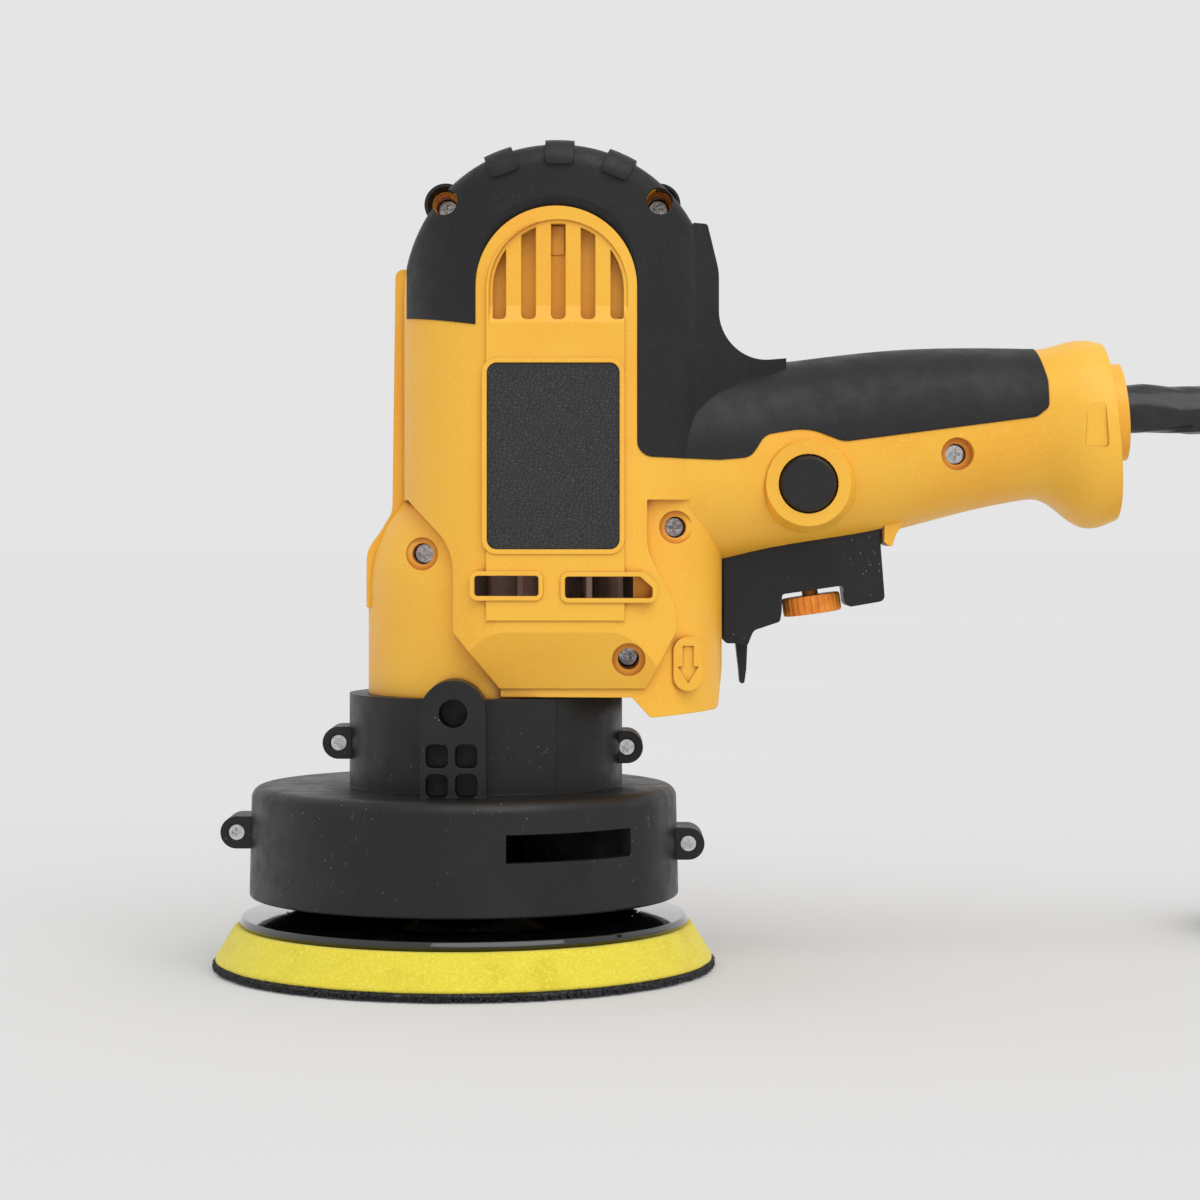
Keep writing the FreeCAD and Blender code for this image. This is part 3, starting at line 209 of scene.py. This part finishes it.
def maths(tree, operation, first, second=0.0):
    return put(tree, "ShaderNodeMath", {0: first, 1: second}, operation=operation).outputs[0]


class Finish:
    """One material, built up in layers of colour, roughness and relief."""

    def __init__(self, name, colour, roughness, metallic=0.0, specular=0.5):
        self.material = bpy.data.materials.new(name)
        self.material.use_nodes = True
        self.tree = self.material.node_tree
        self.shader = self.tree.nodes["Principled BSDF"]
        self.shader.inputs["Metallic"].default_value = metallic
        self.shader.inputs["Specular IOR Level"].default_value = specular
        self.place = self.tree.nodes.new("ShaderNodeTexCoord").outputs["Object"]
        self.colour = colour
        self.roughness = roughness
        self.normal = None

    def set(self, name, value):
        self.shader.inputs[name].default_value = value

    def patches(self, colour, size, start=0.45, end=0.7, **more):
        """Soft patches of another colour."""
        share = ramp(self.tree, grain(self.tree, self.place, size, **more), start, end)
        self.colour = blend(self.tree, share, self.colour, colour)

    def wear(self, spread, size):
        """Roughness that wanders by spread on each side."""
        value = grain(self.tree, self.place, size, 4.0, 0.6)
        low, high = self.roughness - spread, self.roughness + spread
        self.roughness = ramp(self.tree, value, 0.3, 0.7, low, high)

    def painted_crevice_shade(self, colour, depth, most):
        """Painted shade: another colour in the corners and holes, at most that strong."""
        made = put(self.tree, "ShaderNodeAmbientOcclusion", {"Distance": depth}, samples=6)
        share = ramp(self.tree, made.outputs["AO"], 0.75, 0.25, 0.0, most)
        self.colour = blend(self.tree, share, self.colour, colour)

    def rounded(self, radius):
        """Edges that catch the light as if they were rounded."""
        made = put(self.tree, "ShaderNodeBevel", {"Radius": radius}, samples=4)
        self.normal = made.outputs["Normal"]

    def relief(self, height, depth):
        inputs = {"Height": height, "Distance": depth, "Strength": 1.0}
        if self.normal is not None:
            inputs["Normal"] = self.normal
        self.normal = put(self.tree, "ShaderNodeBump", inputs).outputs["Normal"]

    def grained(self, size, depth, detail=3.0):
        self.relief(grain(self.tree, self.place, size, detail, 0.55), depth)

    def seam(self, colour, width):
        """The hairline where the two moulded halves meet on the plane y = 0."""
        side = put(self.tree, "ShaderNodeSeparateXYZ", {0: self.place}).outputs["Y"]
        line = ramp(self.tree, maths(self.tree, "ABSOLUTE", side), width, width / 2)
        self.colour = blend(self.tree, line, self.colour, colour)
        self.relief(maths(self.tree, "SUBTRACT", 1.0, line), width)

    def done(self):
        for name, value in (("Base Color", self.colour), ("Roughness", self.roughness)):
            if isinstance(value, bpy.types.NodeSocket):
                self.tree.links.new(value, self.shader.inputs[name])
            else:
                self.shader.inputs[name].default_value = value
        if self.normal is not None:
            self.tree.links.new(self.normal, self.shader.inputs["Normal"])
        return self.material


# Materials ----------------------------------------------------------------------------
def yellow_nylon():
    made = Finish("yellow_nylon", linear(246, 186, 56), 0.42)
    made.patches(linear(246, 178, 48), 24 * MM, 0.4, 0.75)
    made.patches(linear(250, 196, 74), 0.6 * MM, 0.5, 0.8, detail=3.0)
    # painted shade: deep orange-brown in the corners, creases and vents
    made.painted_crevice_shade(linear(168, 74, 10), 2.6 * MM, 0.9)
    made.wear(0.06, 9 * MM)
    made.rounded(0.35 * MM)
    made.grained(0.35 * MM, 0.012 * MM)
    made.seam(linear(120, 66, 16), 0.16 * MM)
    return made.done()


def black_rubber():
    made = Finish("black_rubber", linear(21, 21, 23), 0.48, specular=0.36)
    made.patches(linear(27, 27, 29), 14 * MM)
    made.patches(linear(40, 40, 41), 0.5 * MM, 0.56, 0.74)
    made.wear(0.08, 6 * MM)
    made.rounded(0.5 * MM)
    made.grained(0.28 * MM, 0.02 * MM)
    made.seam(linear(14, 14, 15), 0.16 * MM)
    return made.done()


def add_dust(made, colour, amount):
    """Pale specks and short scuffs, thicker in some places than in others."""
    tree = made.tree
    where = ramp(tree, grain(tree, made.place, 14 * MM, 3.0), 0.44, 0.66)
    specks = ramp(tree, cells(tree, made.place, 1.7 * MM), 0.11, 0.06)
    long_way = stretched(tree, made.place, 0.16)
    marks = ramp(tree, grain(tree, long_way, 0.5 * MM, 4.0, 0.6, 1.2), 0.66, 0.76)
    both = maths(tree, "MULTIPLY", maths(tree, "MAXIMUM", specks, marks), where)
    made.colour = blend(tree, maths(tree, "MULTIPLY", both, amount), made.colour, colour)


def black_plastic():
    made = Finish("black_plastic", linear(18, 18, 19), 0.44, specular=0.4)
    made.patches(linear(25, 25, 26), 20 * MM)
    made.patches(linear(14, 14, 15), 6 * MM, 0.5, 0.8, detail=4.0)
    add_dust(made, linear(156, 154, 150), 0.72)
    made.wear(0.07, 6 * MM)
    made.rounded(0.4 * MM)
    made.grained(0.4 * MM, 0.018 * MM, 4.0)
    made.seam(linear(12, 12, 13), 0.16 * MM)
    return made.done()


def button_gloss():
    made = Finish("button_gloss", linear(15, 15, 16), 0.2)
    made.patches(linear(22, 22, 23), 3 * MM, 0.5, 0.8)
    made.wear(0.06, 2 * MM)
    made.rounded(0.35 * MM)
    made.grained(0.3 * MM, 0.006 * MM)
    return made.done()


def label_grain():
    made = Finish("label_grain", linear(34, 34, 36), 0.36)
    cell = cells(made.tree, made.place, 1.0 * MM, "DISTANCE_TO_EDGE")
    lines = ramp(made.tree, cell, 0.0, 0.16)
    made.colour = blend(made.tree, lines, linear(16, 16, 17), linear(40, 40, 42))
    made.wear(0.06, 3 * MM)
    made.relief(lines, 0.09 * MM)
    made.grained(0.25 * MM, 0.02 * MM)
    return made.done()


def gloss_black():
    made = Finish("gloss_black", linear(13, 13, 14), 0.07)
    made.patches(linear(20, 20, 21), 8 * MM, 0.5, 0.8)
    add_dust(made, linear(120, 118, 115), 0.35)
    made.wear(0.03, 4 * MM)
    made.rounded(0.3 * MM)
    made.grained(9 * MM, 0.05 * MM)
    made.set("Coat Weight", 0.6)
    made.set("Coat Roughness", 0.04)
    return made.done()


def orange_plastic():
    made = Finish("orange_plastic", linear(240, 150, 44), 0.4)
    made.patches(linear(226, 128, 34), 4 * MM)
    # painted shade: darker orange in the corners and holes
    made.painted_crevice_shade(linear(140, 62, 12), 0.9 * MM, 0.7)
    made.wear(0.06, 2 * MM)
    made.rounded(0.15 * MM)
    made.grained(0.3 * MM, 0.01 * MM)
    return made.done()


def white_nylon():
    made = Finish("white_nylon", linear(236, 214, 206), 0.38)
    made.patches(linear(214, 186, 176), 6 * MM)
    made.wear(0.06, 4 * MM)
    made.rounded(0.2 * MM)
    made.grained(0.3 * MM, 0.01 * MM)
    return made.done()


def yellow_foam():
    made = Finish("yellow_foam", linear(228, 211, 66), 0.9, specular=0.15)
    tree = made.tree
    made.patches(linear(216, 196, 54), 11 * MM, 0.45, 0.8, detail=2.0)
    made.patches(linear(240, 228, 92), 0.7 * MM, 0.45, 0.8, detail=3.0)
    pores = ramp(tree, cells(tree, made.place, 0.42 * MM), 0.28, 0.12)
    # painted shade: the pores darkened towards yellow-green
    made.colour = blend(tree, maths(tree, "MULTIPLY", pores, 0.35), made.colour, linear(186, 166, 36))
    flat_way = stretched(tree, made.place, 3.0)
    made.relief(grain(tree, flat_way, 2.2 * MM, 5.0, 0.65, 0.8), 0.16 * MM)
    made.relief(maths(tree, "SUBTRACT", 1.0, pores), 0.05 * MM)
    made.set("Sheen Weight", 0.2)
    made.set("Sheen Roughness", 0.5)
    return made.done()


def hook_nylon():
    made = Finish("hook_nylon", linear(34, 34, 38), 0.36)
    # pale grey specks: painted highlights on the hook loops
    made.patches(linear(70, 70, 78), 0.9 * MM, 0.5, 0.66)
    made.wear(0.1, 1 * MM)
    made.relief(cells(made.tree, made.place, 0.7 * MM), 0.3 * MM)
    made.set("Sheen Weight", 0.2)
    return made.done()


def metal(name, colour, stain, roughness, size, lines=None):
    """A metal with stains of about that size, and with level lines where they are given."""
    made = Finish(name, linear(*colour), roughness, 1.0)
    tree, stain = made.tree, linear(*stain)
    made.patches(stain, size, 0.42, 0.75, detail=4.0)
    made.wear(0.08, size / 2)
    made.rounded(0.15 * MM)
    if lines:
        inputs = {"Vector": made.place, "Scale": 1 / (20 * lines), "Distortion": 0.0}
        bands = put(tree, "ShaderNodeTexWave", inputs, bands_direction="Z").outputs["Fac"]
        made.colour = blend(tree, maths(tree, "MULTIPLY", bands, 0.4), made.colour, stain)
        made.relief(bands, 0.06 * MM)
    else:
        made.grained(0.3 * MM, 0.01 * MM)
    return made.done()


def carbon():
    made = Finish("carbon", linear(48, 48, 50), 0.6)
    made.patches(linear(70, 70, 72), 0.8 * MM, 0.5, 0.7)
    made.wear(0.08, 1 * MM)
    made.grained(0.2 * MM, 0.02 * MM)
    return made.done()


def cord_pvc():
    made = Finish("cord_pvc", linear(30, 30, 32), 0.36)
    made.patches(linear(42, 42, 45), 14 * MM)
    add_dust(made, linear(110, 108, 106), 0.25)
    made.wear(0.08, 7 * MM)
    made.grained(1.8 * MM, 0.04 * MM, 4.0)
    return made.done()


METALS = (
    ("steel", (188, 188, 190), (150, 150, 154), 0.28, 3 * MM),
    ("zinc_steel", (206, 208, 210), (168, 172, 176), 0.3, 1.5 * MM),
    ("cast_aluminium", (178, 179, 182), (146, 148, 152), 0.48, 2 * MM),
    ("bronze", (190, 142, 84), (142, 98, 54), 0.36, 2 * MM),
    ("brass", (222, 188, 110), (180, 142, 70), 0.3, 3 * MM),
    ("copper", (196, 108, 66), (128, 60, 34), 0.34, 2 * MM, 0.6 * MM),
    ("lamination", (120, 122, 126), (78, 78, 82), 0.42, 3 * MM, 0.5 * MM),
)  # name, colour, stain, roughness, size of the stains, and distance of the lines
SOFT_AND_MOULDED = (
    yellow_nylon,
    black_rubber,
    black_plastic,
    label_grain,
    gloss_black,
    orange_plastic,
    white_nylon,
    yellow_foam,
    hook_nylon,
    carbon,
    cord_pvc,
)
materials = {make.__name__: make() for make in SOFT_AND_MOULDED}
materials.update({values[0]: metal(*values) for values in METALS})


def dress(piece, slot):
    piece.data.materials.clear()
    piece.data.materials.append(materials[slot])


for subpart in frame["record"]["subparts"]:
    dress(frame["nodes"][subpart["node"]], subpart["material_slot"])
dress(mains_cord, "cord_pvc")
frame["nodes"]["lock_button"].data.materials[0] = button_gloss()


# Mesh pieces --------------------------------------------------------------------------
def mesh_piece(name, vertices, faces, body, slot):
    mesh = bpy.data.meshes.new(name)
    mesh.from_pydata(vertices, [], faces)
    mesh.update()
    for face in mesh.polygons:
        face.use_smooth = True
    piece = add_object(name, mesh)
    dress(piece, slot)
    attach(piece, body)
    return piece


def tube_faces(first, rings, steps):
    """Quads between the neighbouring rings of a tube, with steps points to a ring."""
    faces = []
    for ring in range(rings - 1):
        for step in range(steps):
            after = (step + 1) % steps
            low = first + ring * steps
            high = low + steps
            faces.append((low + step, low + after, high + after, high + step))
    return faces


def turned_grid(profile, steps, shift):
    """A closed turned form. profile runs from the axis to the axis; shift moves each point."""
    vertices = []
    for radius, height in profile[1:-1]:
        for step in range(steps):
            angle = 2 * math.pi * step / steps
            point = Vector((radius * math.cos(angle), radius * math.sin(angle), height))
            vertices.append(shift(point, radius))
    rings = len(profile) - 2
    faces = tube_faces(0, rings, steps)
    for ring, (_, height) in ((0, profile[0]), (rings - 1, profile[-1])):
        middle = len(vertices)
        vertices.append(Vector((0, 0, height)) * MM)
        for step in range(steps):
            after = (step + 1) % steps
            corner, other = ring * steps + step, ring * steps + after
            faces.append((middle, other, corner) if ring == 0 else (middle, corner, other))
    return vertices, faces


FOAM_LOW, FOAM_HIGH = 2.0, 10.9
FOAM_PROFILE = [
    *[(radius, FOAM_LOW) for radius in (0, 30, 52, 60)],
    *[(61.6, 2.05), (62.1, 2.35), (62.0, 2.9), (61.4, 3.9), (60.7, 5.0), (60.0, 6.2)],
    *[(59.3, 7.4), (58.5, 8.6), (57.9, 9.6), (57.4, 10.4), (56.9, 10.8)],
    *[(radius, FOAM_HIGH) for radius in (56.3, 54, 40, 20, 0)],
]  # radius and height, in millimetres
HOOK_BASE = 0.9 * MM  # lower face of the fabric that the hooks stand on
HOOK_EDGE = 61.7 * MM
FRAY_THREADS, HOOK_COUNT = 3400, 3600
GOLDEN_ANGLE = 2.39996  # radians between one hook and the next, which spreads them evenly


def foam_shift(point, radius):
    """Foam that is cut a little unevenly and bulges a little between its faces."""
    if radius < 55:
        return point * MM
    push = 0.22 * noise.noise(point / 14) + 0.12 * noise.noise(point / 3.2)
    sway = 0.16 * noise.noise(point / 9 + Vector((7, 3, 1)))
    height = point.z + (sway if point.z > 2.5 else 0.0)
    scale = (radius + push) / radius
    return Vector((point.x * scale, point.y * scale, min(height, FOAM_HIGH))) * MM


foam = mesh_piece("foam_cone", *turned_grid(FOAM_PROFILE, 256, foam_shift), "spindle", "yellow_foam")
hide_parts("foam_pad")


def thread(vertices, faces, path, radius):
    """A thin three-sided thread along a short path."""
    first = len(vertices)
    for index, point in enumerate(path):
        before = path[max(index - 1, 0)]
        after = path[min(index + 1, len(path) - 1)]
        heading = (after - before).normalized()
        side = heading.orthogonal().normalized()
        other = heading.cross(side)
        for corner in range(3):
            angle = 2 * math.pi * corner / 3
            vertices.append(point + radius * (math.cos(angle) * side + math.sin(angle) * other))
    faces += tube_faces(first, len(path), 3)


def hook_fabric():
    """The fabric's disc with a frayed edge and small hooks all over its lower face."""
    chance = random.Random(11)
    edge = HOOK_EDGE / MM
    low = HOOK_BASE / MM
    profile = [(0, low), (40, low), (edge - 1, low), (edge, low + 0.15), (edge + 0.25, 1.4)]
    profile += [(edge, 1.9), (edge - 1, 2.0), (0, 2.0)]

    def shift(point, radius):
        push = 0.0 if radius < 60 else 0.16 * noise.noise(point / 2.5)
        return Vector((point.x + push, point.y + push, point.z)) * MM

    vertices, faces = turned_grid(profile, 220, shift)
    for _ in range(FRAY_THREADS):
        angle = chance.uniform(0, 2 * math.pi)
        out = Vector((math.cos(angle), math.sin(angle), 0))
        along = Vector((-out.y, out.x, 0))
        reach = chance.uniform(0.3, 1.3) * MM
        start = out * (HOOK_EDGE - 0.1 * MM) + Vector((0, 0, chance.uniform(0.7, 2.3) * MM))
        lean = along * chance.uniform(-0.9, 0.9) * MM
        drop = Vector((0, 0, chance.uniform(0.2, 1.6) * MM))
        end = start + lean - drop
        end.z = max(end.z, 0.12 * MM)
        middle = (start + end) / 2 + out * reach
        path = [start, (start * 2 + middle * 3) / 5 + out * 0.3 * reach, middle]
        path += [(end * 2 + middle * 3) / 5 + out * 0.3 * reach, end]
        thread(vertices, faces, path, chance.uniform(0.06, 0.11) * MM)
    for index in range(HOOK_COUNT):
        radius = (HOOK_EDGE - 0.6 * MM) * math.sqrt((index + 0.5) / HOOK_COUNT)
        angle = index * GOLDEN_ANGLE
        foot = Vector((radius * math.cos(angle), radius * math.sin(angle), HOOK_BASE + 0.05 * MM))
        turn = chance.uniform(0, 2 * math.pi)
        lean = Vector((math.cos(turn), math.sin(turn), 0)) * 0.4 * MM
        down = Vector((0, 0, -0.78 * MM))
        path = [foot, foot + down * 0.7, foot + down + lean * 0.5, foot + down * 0.7 + lean]
        thread(vertices, faces, path, 0.08 * MM)
    return vertices, faces


hooks = mesh_piece("hook_fabric", *hook_fabric(), "spindle", "hook_nylon")
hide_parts("hook_face")

BOOT_START, BOOT_STRAIGHT, BOOT_END = 0.1495, 0.1875, 0.207
BOOT_R, BOOT_END_R = 6.0 * MM, 4.6 * MM
FOLDS_START, FOLDS_FULL = 0.162, 0.170  # where the creases begin and reach their full depth


def sleeve():
    """The cord's long sleeve: soft, creased aslant and tapered to the cord."""
    rings, steps = 130, 96
    axis = Vector((0, 0, CORD_EXIT[2]))
    vertices, faces = [], []
    for ring in range(rings + 1):
        x = BOOT_START + (BOOT_END - BOOT_START) * ring / rings
        taper = max(0.0, (x - BOOT_STRAIGHT) / (BOOT_END - BOOT_STRAIGHT))
        radius = BOOT_R + (BOOT_END_R - BOOT_R) * taper
        free = min(1.0, max(0.0, (x - FOLDS_START) / (FOLDS_FULL - FOLDS_START)))
        free *= 1 - 0.7 * taper
        for step in range(steps):
            angle = 2 * math.pi * step / steps
            out = Vector((0, math.cos(angle), math.sin(angle)))
            spot = Vector((x * 75 + 0.55 * out.y, out.y * 0.9, out.z * 0.9))
            fold = 0.8 * noise.noise(spot) + 0.3 * noise.noise(spot * 2.4 + Vector((4, 9, 2)))
            vertices.append(axis + Vector((x, 0, 0)) + out * (radius + fold * MM * free))
    lip = len(vertices)
    for step in range(steps):
        angle = 2 * math.pi * step / steps
        out = Vector((0, math.cos(angle), math.sin(angle)))
        vertices.append(axis + Vector((BOOT_END, 0, 0)) + out * CORD_R * 0.96)
    for ring in range(rings + 1):
        for step in range(steps):
            after = (step + 1) % steps
            low, high = ring * steps, (ring + 1) * steps
            faces.append((low + step, high + step, high + after, low + after))
    faces.append(tuple(range(steps)))
    faces.append(tuple(range(lip + steps - 1, lip - 1, -1)))
    return vertices, faces


def sleeve_vinyl():
    made = Finish("sleeve_vinyl", linear(26, 26, 28), 0.3)
    made.patches(linear(38, 38, 40), 6 * MM)
    add_dust(made, linear(120, 118, 115), 0.25)
    made.wear(0.07, 5 * MM)
    made.grained(5 * MM, 0.3 * MM, 3.0)
    made.grained(0.5 * MM, 0.015 * MM)
    return made.done()


boot = mesh_piece("cord_sleeve", *sleeve(), "housing", "cord_pvc")
boot.data.materials[0] = sleeve_vinyl()
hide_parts("cord_boot")

COLLAR_AXIS_X, COLLAR_R = 5.4 * MM, 34.15 * MM
MOULD_LINE_X = 23.6 * MM


def mould_line():
    """The fine raised line that the mould left down the collar's left side."""
    rings, steps = 24, 6
    y = -math.sqrt(COLLAR_R**2 - (MOULD_LINE_X - COLLAR_AXIS_X) ** 2)
    out = Vector((MOULD_LINE_X - COLLAR_AXIS_X, y, 0)).normalized()
    along = Vector((-out.y, out.x, 0))
    vertices, faces = [], []
    for ring in range(rings + 1):
        foot = Vector((MOULD_LINE_X, y, (46.2 + 21.8 * ring / rings) * MM))
        size = (0.16 + 0.05 * noise.noise(foot * 400)) * MM
        for step in range(steps + 1):
            angle = math.pi * (step / steps * 1.2 - 0.1)
            vertices.append(foot + size * (math.cos(angle) * along + math.sin(angle) * out))
    for ring in range(rings):
        for step in range(steps):
            low = ring * (steps + 1) + step
            high = low + steps + 1
            faces.append((low, low + 1, high + 1, high))
    return vertices, faces


mesh_piece("collar_mould_line", *mould_line(), "housing", "black_plastic")

# Stage, light and finish --------------------------------------------------------------
floor_mesh = bpy.data.meshes.new("floor")
work = bmesh.new()
bmesh.ops.create_grid(work, x_segments=1, y_segments=1, size=12)
work.to_mesh(floor_mesh)
work.free()
floor = add_object("floor", floor_mesh)
floor.location.z = -0.2 * MM
GREY = 0.783  # the background
pale = Finish("pale_floor", (0.71, 0.71, 0.71, 1.0), 0.9, specular=0.0)
pale.patches((0.72, 0.72, 0.72, 1.0), 0.5)
floor_mesh.materials.append(pale.done())
floor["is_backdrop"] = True

world = bpy.data.worlds.new("studio")
world.use_nodes = True
background = world.node_tree.nodes["Background"]
background.inputs["Color"].default_value = (GREY, GREY, GREY, 1.0)
scene.world = world

sun = add_object("soft_key", bpy.data.lights.new("soft_key", "SUN"))
sun.data.energy = 1.25
sun.data.angle = 1.0
sun.rotation_euler = (math.radians(36), math.radians(20), 0)

scene.view_settings.view_transform = "Standard"

boxes = {"cad": cad_box, "visual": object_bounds()}
{name: [list(corner) for corner in box] for name, box in boxes.items()}
